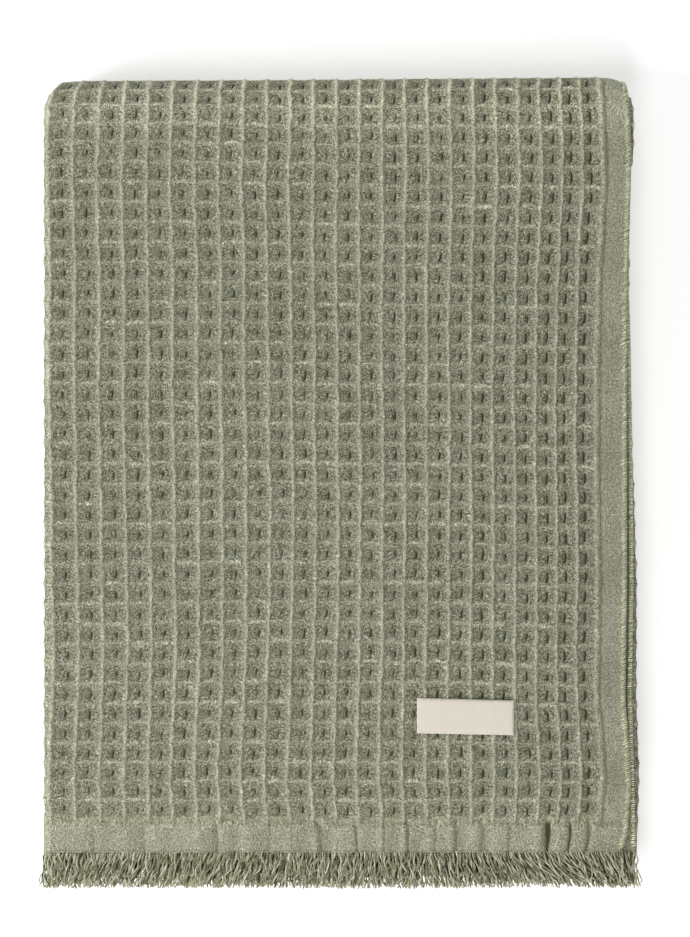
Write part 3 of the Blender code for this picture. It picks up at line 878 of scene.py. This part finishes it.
class Socket:
    """An output of a material's node, for writing the material's maths as expressions.

    The operators make a Math node for values and a Vector Math node for colours and vectors. Every other node
    is made by node.
    """

    def __init__(self, tree, source=None):
        self.tree = tree
        self.source = source

    def node(self, kind, settings=None, inputs=None, output=0):
        """Adds a node of a kind, with its settings and inputs by name or number, and returns an output."""
        made = self.tree.nodes.new(kind)
        for name, value in (settings or {}).items():
            setattr(made, name, value)
        for name, value in (inputs or {}).items():
            if isinstance(value, Socket):
                self.tree.links.new(value.source, made.inputs[name])
            else:
                made.inputs[name].default_value = value
        return Socket(self.tree, made.outputs[output])

    def operate(self, operation, *values):
        wide = ("VECTOR", "RGBA")
        vectors = any(
            isinstance(value, tuple) or (isinstance(value, Socket) and value.source.type in wide)
            for value in values
        )
        if vectors:
            values = [value if isinstance(value, (Socket, tuple)) else (value,) * 3 for value in values]
        kind = "ShaderNodeVectorMath" if vectors else "ShaderNodeMath"
        return self.node(kind, {"operation": operation}, dict(enumerate(values)))

    def __add__(self, other):
        return self.operate("ADD", self, other)

    __radd__ = __add__

    def __sub__(self, other):
        return self.operate("SUBTRACT", self, other)

    def __rsub__(self, other):
        return self.operate("SUBTRACT", other, self)

    def __mul__(self, other):
        return self.operate("MULTIPLY", self, other)

    __rmul__ = __mul__

    def __pow__(self, other):
        return self.operate("POWER", self, other)

    def sine(self):
        return self.operate("SINE", self)

    def absolute(self):
        return self.operate("ABSOLUTE", self)

    def maximum(self, other):
        return self.operate("MAXIMUM", self, other)

    def blend(self, first, second):
        """A mix of two values, with this value as the second's share."""
        return (1.0 - self) * first + self * second

    def step(self, low, high):
        """0 below low and 1 above high, smooth between."""
        return self.node(
            "ShaderNodeMapRange",
            {"interpolation_type": "SMOOTHSTEP"},
            {"Value": self, "From Min": low, "From Max": high},
        )

    def peak(self, at, sharpness):
        """1 at a value, and 0 where the difference from it times the sharpness is over 1."""
        return (1.0 - ((self - at) * sharpness).absolute()).maximum(0.0)

    def between(self, first, second):
        """A mix of two colours, with this value as the second's share."""
        return self.node(
            "ShaderNodeMix", {"data_type": "RGBA"}, {"Factor": self, 6: first, 7: second}, 2
        )

    def noise(self, vector, scale, detail=2.0, roughness=0.6, distortion=0.0):
        return self.node(
            "ShaderNodeTexNoise",
            inputs={
                "Vector": vector,
                "Scale": scale,
                "Detail": detail,
                "Roughness": roughness,
                "Distortion": distortion,
            },
        )


def new_material(name):
    """A material with one Principled shader, as (material, shader node, Socket to start expressions from)."""
    material = bpy.data.materials.new(name)
    material.use_nodes = True
    return material, material.node_tree.nodes["Principled BSDF"], Socket(material.node_tree)


def cloth_place(start):
    """The UV map of the cloth or the yarn, in metres, as (both, first, second)."""
    place = start.node("ShaderNodeUVMap", {"uv_map": "cloth"})
    parts = [start.node("ShaderNodeSeparateXYZ", inputs={"Vector": place}, output=axis) for axis in (0, 1)]
    return place, *parts


def feed(shader, base, height, strength, distance, constants):
    """Gives a shader its colour, a Bump of a height with its strength and distance, and its constants."""
    relief = {"Strength": strength, "Distance": distance, "Height": height}
    bump = height.node("ShaderNodeBump", inputs=relief)
    for name, socket in (("Base Color", base), ("Normal", bump)):
        socket.tree.links.new(socket.source, shader.inputs[name])
    for name, value in constants.items():
        shader.inputs[name].default_value = value


def warmed(tone):
    """A brightness as a colour that is yellower where it is low: its blue is the brightness to the 1.3."""
    return tone.node("ShaderNodeCombineXYZ", inputs={"X": tone, "Y": tone, "Z": tone**1.3})


def cloth_material(colours, width, left_fold):
    """Sage cotton: painted shade darkens it in the slits and painted highlights make the raised threads
    paler, with short curled bits of yarn all over and a plain weave in the bands.

    Painted highlights make it paler along the left fold and over the large fold, most of all on the ridges at
    the fold's rim, and painted shade makes it darker in the first row, among the roots of the fringe and
    beside the lower selvedge, under the layer above. It is paler under the sewing. The curls are thin lines
    where a noise passes through its mean. width is the width of the cloth laid flat, and left_fold the place
    across of its outer fold.
    """
    material, shader, start = new_material("sage_cotton")
    place, across, along = cloth_place(start)
    height, thread, plain = (
        start.node("ShaderNodeAttribute", {"attribute_name": name}, output=2)
        for name in ("height", "thread", "plain")
    )
    curls = start.noise(place, 560.0, 1.0, 0.5, 1.6).peak(0.5, 12.0)
    small_curls = start.noise(place * (1.0, 0.8, 1.0), 900.0, 1.0, 0.5, 1.2).peak(0.5, 9.0)
    grain = (start.noise(place, 1000.0, 2.0, 0.7) - 0.5) * 6.0
    drift = start.noise(place, 24.0, 2.0, 0.5) - 0.5
    patches = start.noise(place, 170.0, 2.0, 0.5) - 0.5
    picks = (along * 5200.0).sine()
    ends = (across * 5200.0).sine()
    slub = start.noise(place * (6.0, 1.0, 1.0), 160.0, 2.0, 0.6) - 0.5
    loose = curls * 1.4 + small_curls * 0.9 + grain * 0.55 - 0.7
    woven = picks * ends * 0.3 + slub * 0.8 + small_curls * 1.0 + grain * 0.85 - 0.25
    texture = plain.blend(loose * thread.blend(1.0, 0.42), woven)
    texture = texture * (height.step(0.05, 0.5) * 0.85 + 0.15)
    weave = plain.between((*colours.sage, 1.0), (*colours.band, 1.0))
    # Painted shade: the slits and the deepest creases take the shade colour
    body = height.step(0.0, 0.46).between((*colours.shade, 1.0), weave)
    # Painted highlight on the raised threads of the ribs and ridges
    base = thread.step(0.05, 0.9).between(body, (*colours.crest_highlight, 1.0))
    from_selvedge = width / 2 - (across - width / 2).absolute()
    sewn = 1.0 - from_selvedge.step(1.5 * MM, 3.2 * MM)
    base = (sewn * 0.6).between(base, (*colours.sewn, 1.0))
    # Painted shade in the strip beside the lower selvedge, under the edge of the layer above
    from_lower = width - across
    beside_lower = from_lower.step(1.9 * MM, 2.5 * MM) * (1.0 - from_lower.step(8.0 * MM, 12.0 * MM))
    lower_edge_shade = 1.0 - beside_lower * along.step(10.0 * MM, 30.0 * MM) * 0.6
    # Painted shade between the roots of the fringe: darker stripes along the top level's hem
    fringe_root_shade = 1.0 - ((across * 9000.0).sine() * 0.25 + 0.25) * along.peak(0.8 * MM, 1100.0)
    # Painted shade across the first row of cells, next to the hem band
    first_row = 1.0 - along.peak(15.2 * MM, 380.0) * 0.22
    # Painted shade: the lower parts of the pockets and of the bands' creases are darker, in the bands more so
    low = plain.blend(0.16, 0.4)
    relief = height.step(0.42, 1.0) * low + 1.0 - low
    # Painted highlight along the left fold, which faces the light from the left
    left_fold_highlight = 1.0 + across.peak(left_fold, 140.0) * 0.25
    # Painted highlight: lighter towards the large fold and beyond it, most of all on the ridges at its rim
    rim_highlight_mask = along.step(392.0 * MM, 408.0 * MM) * (1.0 - along.step(425.0 * MM, 440.0 * MM))
    paler = along.step(300.0 * MM, 400.0 * MM) * 0.08 + along.step(375.0 * MM, 400.0 * MM) * 0.26 + 1.0
    paler = paler * (1.0 + thread * rim_highlight_mask * 0.3)
    tone = (1.0 + texture * plain.blend(1.06, 0.55) + drift * 0.25 + patches * 0.35).maximum(0.1)
    base = base * warmed(tone * relief * first_row * lower_edge_shade * fringe_root_shade) * (paler * left_fold_highlight)
    constants = {
        "Roughness": 0.95,
        "Specular IOR Level": 0.15,
        "Sheen Weight": 0.16,
        "Sheen Roughness": 0.6,
    }
    feed(shader, base, texture, 1.0, 0.5 * MM, constants)
    return material


def yarn_material(name, base_colour, twist, contrast=3.0, shaded=1.0):
    """Cotton yarn: a fine stripe for its twist, and a tone that changes along it and from yarn to yarn.

    contrast is how much the tone changes, and shaded the brightness of the painted shade where the yarn lies
    under others, up to two thirds of its length.
    """
    material, shader, start = new_material(name)
    place, which, along = cloth_place(start)
    tone = start.noise(place * (900.0, 150.0, 1.0), 1.0, 3.0, 0.6)
    stripe = (along * twist + which * 60.0).sine()
    tone = (tone * contrast + 1.0 - contrast / 2.0 + stripe * 0.05).maximum(0.15)
    # Painted shade: darker from the root for two thirds of the length, where the yarn lies under others
    tone = tone * along.step(12.5 * MM, 18.5 * MM).blend(shaded, 1.0)
    constants = {"Roughness": 0.95, "Specular IOR Level": 0.15, "Sheen Weight": 0.1}
    feed(shader, warmed(tone) * tuple(base_colour), stripe, 0.4, 0.3 * MM, constants)
    return material


def tape_material(colours):
    """Cream woven tape with a fine rib."""
    material, shader, start = new_material("label_tape")
    place, across, along = cloth_place(start)
    weave = (across * 14000.0).sine() * 0.5 + (along * 9000.0).sine() * 0.5
    mottle = start.noise(place, 300.0, 3.0, 0.6)
    base = (0.93 + mottle * 0.12 + weave * 0.015) * tuple(colours.label)
    feed(shader, base, weave, 0.2, 0.1 * MM, {"Roughness": 0.8, "Specular IOR Level": 0.2})
    return material


def floor_material(colours):
    """A matt floor that glows a little, so that shadows on it stay pale."""
    material, shader, _ = new_material("floor")
    constants = {
        "Base Color": (*colours.floor, 1.0),
        "Emission Color": (1.0, 1.0, 1.0, 1.0),
        "Emission Strength": colours.floor_glow,
        "Roughness": 0.9,
        "Specular IOR Level": 0.0,
    }
    for name, value in constants.items():
        shader.inputs[name].default_value = value
    return material


def bends(moves, side, start, end, offset=0.0):
    """Places on a folded line that its shape needs: five to a run and seven to a half turn."""
    ends = move_ends(moves, side, offset)
    starts = np.concatenate([[0.0], ends[:-1]])
    found = [
        np.linspace(first, last, 6 if turn == 0 else 8) for first, last, (_, turn) in zip(starts, ends, moves)
    ]
    places = np.unique(np.round(np.concatenate(found + [[start, end]]), 7))
    return places[(places >= start) & (places <= end)]


def ride_root(piece, slot, *nodes):
    """Fixes a piece to the throw and lets it stand for solids of the frame. slot is not used."""
    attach(piece, "root")
    if nodes:
        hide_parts(*nodes)
    return piece


class THROW_OT_cloth(bpy.types.Operator):
    """Build the waffle cloth, folded in half twice across and twice along, in stretches"""

    bl_idname = "throw.cloth"
    bl_label = "Cloth"

    def execute(self, context):
        sizes = context.scene.throw_sizes
        across, along = across_ends(sizes), along_ends(sizes)
        material = cloth_material(context.scene.throw_colours, across[-1], across[:2].mean())
        ribs, ridges = rib_lines(sizes), ridge_lines(sizes)
        slits, centres = slit_shares(ribs), mid_shares(ridges)
        under_hem = along[3] + LEFT_ZONE
        side_band = np.concatenate([np.arange(0.0, ribs[0], BAND_STEP), ribs[0] - np.array(GROOVE_MM) * MM])
        crease_x = table(CREASE_COLUMNS, CREASE_ROWS_MM)["across"]
        crease_x = (crease_x[:, None] + np.array(CREASE_SAMPLES_MM)).ravel() * MM
        creases = flat_across(sizes, crease_x)
        hem_rows = np.linspace(0.0, sizes.first_ridge, HEM_SAMPLES)
        fold_side = (across[2] - FOLD_ZONE, across[3] + FOLD_ZONE, MIDDLING_ACROSS)
        lower_side = (across[6] - SELVEDGE_ZONE, across[6], MIDDLING_ACROSS)
        fold_start = across[0] - LEFT_ZONE
        middle_zones = [(0.0, SELVEDGE_ZONE, MIDDLING_ACROSS), (fold_start, across[1], MIDDLING_ACROSS)]
        stretches = (
            ("top", 0.0, along[1], FINE_ALONG, [(0.0, across[1], FINE_ACROSS)], creases),
            ("base", along[1], under_hem, MIDDLING_ALONG, [(0.0, across[1], MIDDLING_ACROSS)], ()),
            ("middle", under_hem, along[6], MIDDLING_ALONG, middle_zones, ()),
        )
        seams = [ridges[number : number + 2].mean() for number in SEAM_ROWS]
        for name, first, last, rows, outer_zones, more in stretches:
            row_extra = np.concatenate(
                [bends(along_moves(sizes), 1, first, last, 1.5 * sizes.layer), hem_rows, along[6] - hem_rows]
            )
            row_places = samples(ridges, centres, first, last, [(first, last, rows)], row_extra)
            cuts = [0, *(np.abs(row_places - seam).argmin() for seam in seams), len(row_places)]
            thirds = [row_places[low : high + 1] for low, high in zip(cuts[:-1], cuts[1:])]
            face_rows = thirds if name == "top" else [row_places]
            face_extra = np.concatenate([side_band, more])
            layer_zones = [fold_side, lower_side]
            for part, low, high, zones, extra, pieces in (
                ("face", 0.0, across[1], outer_zones, face_extra, face_rows),
                ("layers", across[1], across[6], layer_zones, across[6] - side_band, [row_places]),
            ):
                under = bends(across_moves(sizes), -1, low, high)
                places = samples(ribs, slits, low, high, zones, np.concatenate([under, extra]))
                for number, rows_here in enumerate(pieces):
                    title = f"cloth_{name}_{part}_{number}"
                    piece = cloth_piece(sizes, title, material, places, under, rows_here, (first, last))
                    ride_root(piece, "sage_cotton", "throw_cloth")
                    high - low
                    rows_here[-1] - rows_here[0]
        return {"FINISHED"}


class THROW_OT_fringe(bpy.types.Operator):
    """Build the fringe of loose yarns at both ends of the cloth"""

    bl_idname = "throw.fringe"
    bl_label = "Fringe"

    def execute(self, context):
        sizes = context.scene.throw_sizes
        colours = context.scene.throw_colours
        across, along = across_ends(sizes), along_ends(sizes)
        limits = (0.0, across[1], across[3], across[4], across[6])
        rooted = (YARN_ROOT, along[6] - YARN_ROOT)
        for (name, node, steps), root_along, shaded in zip(FRINGE_ROWS_MM, rooted, (1.0, sizes.lower_fringe_shade)):
            material = yarn_material(name, colours.fringe, FRINGE_TWIST, FRINGE_CONTRAST, shaded)
            roots = np.concatenate(
                [
                    np.arange(low + YARN_START, high, step * MM)
                    for low, high, step in zip(limits[:-1], limits[1:], steps)
                ]
            )
            which = np.arange(len(roots))
            roots = roots + YARN_SPREAD * (speckle(which, 1, 21) - 0.5)
            lift = 0.5 * MM * (speckle(which, 2, 22) - 0.6)
            paths = yarn_paths(sizes, fold(sizes, roots, np.full(len(roots), root_along), lift), which)
            thick = sizes.yarn * (0.75 + 0.5 * speckle(which, 3, 23))
            radii = thick[:, None] * np.linspace(1.05, 0.8, paths.shape[1])
            lengths = np.full(len(paths), sizes.fringe)
            piece = tube_object(name, paths, radii, 4, UPWARDS, lengths, material)
            ride_root(piece, "sage_fringe_yarn", node)
        return {"FINISHED"}


def yarn_paths(sizes, start, which):
    """Paths of loose yarns from their roots towards -Y.

    Sideways, a yarn leans by the table of leans times the share of its length to the power 1.3, is drawn
    towards the middle of its clump, waves as two sines, and bends aside in its last third. One in ten leans
    far over the others. Downwards it sinks with the share to the power 1.5 and rises and falls as a sine, and
    it never sinks into the fold of the lower levels, whose top is a circle's arc.
    """
    part = np.linspace(0.0, 1.0, 11)[None, :]
    x, y, z = (start[:, axis, None] for axis in range(3))
    chance = [speckle(which, number, 31)[:, None] for number in range(12)]
    length = sizes.fringe * (0.92 + 0.15 * chance[0])
    upper = rise(z, 28 * MM, 34 * MM)
    shift = 0.8 * np.sin(z / (1.1 * MM))
    clump = np.round(x / (CLUMP_MM * MM) + shift)
    centre = (clump - shift) * CLUMP_MM * MM
    lean = np.interp(x, np.array(LEAN_MM[0]) * MM, np.array(LEAN_MM[1]) * MM) * (0.45 + 0.55 * upper)
    lean = lean + 3.6 * MM * (speckle(clump, 1, 32) - 0.5) + 4.0 * MM * (chance[1] - 0.5)
    far = (chance[3] > 0.9) * rise(chance[3], 0.88, 0.94)
    lean = lean + 14.0 * MM * (chance[2] - 0.5) * far
    drawn = (0.15 + 0.35 * upper) * (centre - x)
    wave = 0.75 * MM * np.sin(2 * math.pi * (part * (0.7 + 1.1 * chance[4]) + chance[5]))
    ripple = 0.3 * MM * np.sin(2 * math.pi * (part * (2.0 + 1.5 * chance[6]) + chance[7]))
    tip = 5.0 * MM * (chance[8] - 0.5) * rise(part, 0.55, 1.15)
    x_path = x + lean * part**1.3 + drawn * part**1.2 + (wave + ripple) * rise(part, 0.0, 0.25) + tip
    y_path = y - length * part * (1.0 - 0.5 * np.minimum(1.0, np.abs(lean / length)) ** 2)
    resting = 8.0 * sizes.layer + 0.4 * MM
    bob = 1.0 * MM * np.sin(2 * math.pi * (part * (0.8 + chance[9]) + chance[10])) * rise(part, 0.0, 0.3)
    sunk = z - (z - resting) * 0.4 * part**1.5 + bob + 0.9 * MM * far * np.sin(math.pi * part)
    radius = 3.9 * sizes.layer
    beyond = np.clip(sizes.front_fold - y_path, 0.0, radius)
    ground = resting - radius + np.sqrt(radius**2 - beyond**2)
    return np.stack(np.broadcast_arrays(x_path, y_path, np.maximum(sunk, ground)), axis=-1)


class THROW_OT_sewing(bpy.types.Operator):
    """Build the overlock stitches along both selvedges, from one end of the cloth to the other"""

    bl_idname = "throw.sewing"
    bl_label = "Overlock sewing"

    def execute(self, context):
        sizes = context.scene.throw_sizes
        material = yarn_material("selvedge_thread", context.scene.throw_colours.sewing, 3000.0)
        across, along = across_ends(sizes), along_ends(sizes)
        reach, edge = sizes.stitch_reach, sizes.band_half + 0.18 * MM
        turn = table(TURN_COLUMNS, TURN_ROWS)
        turn_across, turn_height = turn["across"] * reach, turn["height"] * edge
        count = int((along[6] - OVERLOCK_STOP) / sizes.stitch_step)
        number = np.repeat(np.arange(count), len(turn_across))
        turns = np.tile(np.arange(len(turn_across)), count)
        slant = STITCH_SLANT * (0.7 + 0.6 * speckle(number, 3, 43)) * turn_across[turns] / reach
        jitter = 0.4 * sizes.stitch_step * (speckle(number, 4, 44) - 0.5)
        at_along = (number + turns / len(turn_across)) * sizes.stitch_step + OVERLOCK_START + slant + jitter
        uneven = 0.62 + 0.5 * speckle(number, 1, 41)
        for name, at, inward in (("overlock_upper", 0.0, 1.0), ("overlock_lower", across[6], -0.65)):
            place = at + inward * turn_across[turns] * uneven
            path = fold(sizes, place, at_along, turn_height[turns] * (1.0 + 0.5 * speckle(number, 5, 45)))
            radii = sizes.thread * (0.85 + 0.3 * speckle(number, 2, 42))
            length = np.array([len(path) * STITCH_THREAD])
            piece = tube_object(name, path[None], radii[None], 3, (0.13, 1.0, 0.07), length, material)
            ride_root(piece, "sage_cotton")
        return {"FINISHED"}


class THROW_OT_label(bpy.types.Operator):
    """Build the bare woven label and the stitches round it"""

    bl_idname = "throw.label"
    bl_label = "Label"

    def execute(self, context):
        sizes = context.scene.throw_sizes
        low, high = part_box("label")
        middle = (np.array(low) + np.array(high)) / 2
        count_across, count_along = LABEL_SAMPLES
        u, v = np.meshgrid(np.linspace(-1.0, 1.0, count_across), np.linspace(-1.0, 1.0, count_along))
        turn = math.radians(LABEL_TURN)
        half_width, half_height = sizes.label_width / 2, sizes.label_height / 2

        def lay(u, v, lift):
            flat_x = u * half_width - 0.25 * MM * v
            flat_y = v * half_height - 0.1 * MM * u * v
            curl = 0.35 * MM * (np.maximum(np.abs(u), np.abs(v)) ** 8)
            sag = 0.03 * MM * np.cos(flat_x / (2.0 * MM)) - curl
            x = middle[0] + flat_x * math.cos(turn) - flat_y * math.sin(turn)
            y = middle[1] + flat_x * math.sin(turn) + flat_y * math.cos(turn)
            return np.stack([x, y, middle[2] + sag + lift], axis=-1)

        rounded = 1.0 - 0.5 * np.maximum(np.abs(u), np.abs(v)) ** 40
        upper = lay(u, v, sizes.label_thick / 2 * rounded)
        lower = lay(u, v, -sizes.label_thick / 2 * rounded)
        points = np.concatenate([upper.reshape(-1, 3), lower.reshape(-1, 3)])
        first = grid_faces(count_along, count_across, False)
        index = np.arange(count_along * count_across).reshape(count_along, count_across)
        around = np.concatenate([index[0, :-1], index[:-1, -1], index[-1, :0:-1], index[:0:-1, 0]])
        after = np.roll(around, -1)
        shift = count_along * count_across
        rim = np.stack([after, around, around + shift, after + shift], axis=1)
        flat = np.stack([u * half_width, v * half_height], axis=-1).reshape(-1, 2)
        label = make_mesh(
            "label_tape",
            points,
            np.concatenate([first, first[:, ::-1] + shift, rim]),
            (),
            tape_material(context.scene.throw_colours),
            np.concatenate([flat, flat]),
        )
        ride_root(label, "label_tape", "label")
        around_length = 4 * (half_width + half_height)
        starts = np.arange(0.0, around_length, LABEL_STITCH_STEP)
        along = (starts[:, None] + np.linspace(0.0, LABEL_STITCH_LENGTH, 4)[None, :]) % around_length
        corner = np.array([(-1, -1), (1, -1), (1, 1), (-1, 1), (-1, -1)], float)
        lengths = np.cumsum([0.0, 2 * half_width, 2 * half_height, 2 * half_width, 2 * half_height])
        su = np.interp(along, lengths, corner[:, 0]) * (1.0 - LABEL_STITCH_INSET / half_width)
        sv = np.interp(along, lengths, corner[:, 1]) * (1.0 - LABEL_STITCH_INSET / half_height)
        hump = np.array([-0.12, 0.06, 0.06, -0.12]) * MM
        paths = lay(su, sv, sizes.label_thick / 2 + hump[None, :])
        radii = np.full(paths.shape[:2], LABEL_THREAD)
        lengths = np.full(len(paths), LABEL_STITCH_LENGTH)
        thread = yarn_material("label_thread", context.scene.throw_colours.label, 5000.0)
        ride_root(tube_object("label_stitches", paths, radii, 4, UPWARDS, lengths, thread), "label_tape")
        return {"FINISHED"}


class THROW_OT_stage(bpy.types.Operator):
    """Build the floor, the lights and the camera above the throw"""

    bl_idname = "throw.stage"
    bl_label = "Floor, lights and camera"

    def execute(self, context):
        scene = context.scene
        mesh = bpy.data.meshes.new("floor")
        corners = [(x * FLOOR_REACH, y * FLOOR_REACH, 0.0) for x, y in ((-1, -1), (1, -1), (1, 1), (-1, 1))]
        mesh.from_pydata(corners, [], [(0, 1, 2, 3)])
        mesh.materials.append(floor_material(scene.throw_colours))
        floor = bpy.data.objects.new("floor", mesh)
        scene.collection.objects.link(floor)
        world = bpy.data.worlds.new("studio")
        world.use_nodes = True
        sky = world.node_tree.nodes["Background"]
        sky.inputs["Color"].default_value = (1.0, 1.0, 1.0, 1.0)
        sky.inputs["Strength"].default_value = SKY
        scene.world = world
        scene.view_settings.view_transform = "Standard"
        for name, bearing, elevation, distance, extent, bright in LIGHT_ROWS:
            bearing, elevation = math.radians(bearing), math.radians(elevation)
            light = bpy.data.lights.new(name, "AREA")
            light.shape = "DISK"
            light.size = extent
            light.energy = bright * (math.pi * distance) ** 2 / math.sin(elevation)
            lamp = bpy.data.objects.new(name, light)
            lamp.location = distance * Vector(
                (
                    math.cos(elevation) * math.cos(bearing),
                    math.cos(elevation) * math.sin(bearing),
                    math.sin(elevation),
                )
            )
            lamp.rotation_euler = (-lamp.location).to_track_quat("-Z", "Y").to_euler()
            scene.collection.objects.link(lamp)
        camera = bpy.data.cameras.new("camera")
        camera.sensor_width = SENSOR
        camera.clip_end = 50.0
        camera.lens = SENSOR * CAMERA_ABOVE / VIEW_HEIGHT
        view = bpy.data.objects.new("camera", camera)
        view.location = (*VIEW_MIDDLE, CAMERA_ABOVE + THROW_TOP)
        view.rotation_euler = (0.0, 0.0, 0.0)
        scene.collection.objects.link(view)
        scene.camera = view
        return {"FINISHED"}


class THROW_PT_panel(bpy.types.Panel):
    """The throw's sizes, colours and steps"""

    bl_idname = "THROW_PT_panel"
    bl_label = "Folded waffle throw"
    bl_space_type = "VIEW_3D"
    bl_region_type = "UI"
    bl_category = "Throw"

    def draw(self, context):
        for group in (context.scene.throw_sizes, context.scene.throw_colours):
            box = self.layout.box()
            for name in group.bl_rna.properties.keys():
                if name not in ("rna_type", "name"):
                    box.prop(group, name)
        for step in STEPS:
            self.layout.operator(step.bl_idname)


STEPS = (THROW_OT_cloth, THROW_OT_fringe, THROW_OT_sewing, THROW_OT_label, THROW_OT_stage)
CLASSES = (ThrowSizes, ThrowColours, *STEPS, THROW_PT_panel)


def register():
    for each in CLASSES:
        bpy.utils.register_class(each)
    bpy.types.Scene.throw_sizes = bpy.props.PointerProperty(type=ThrowSizes)
    bpy.types.Scene.throw_colours = bpy.props.PointerProperty(type=ThrowColours)


def unregister():
    del bpy.types.Scene.throw_colours
    del bpy.types.Scene.throw_sizes
    for each in reversed(CLASSES):
        bpy.utils.unregister_class(each)


def main():
    register()
    bpy.ops.throw.cloth()
    bpy.ops.throw.fringe()
    bpy.ops.throw.sewing()
    bpy.ops.throw.label()
    bpy.ops.throw.stage()


if __name__ == "__main__":
    main()
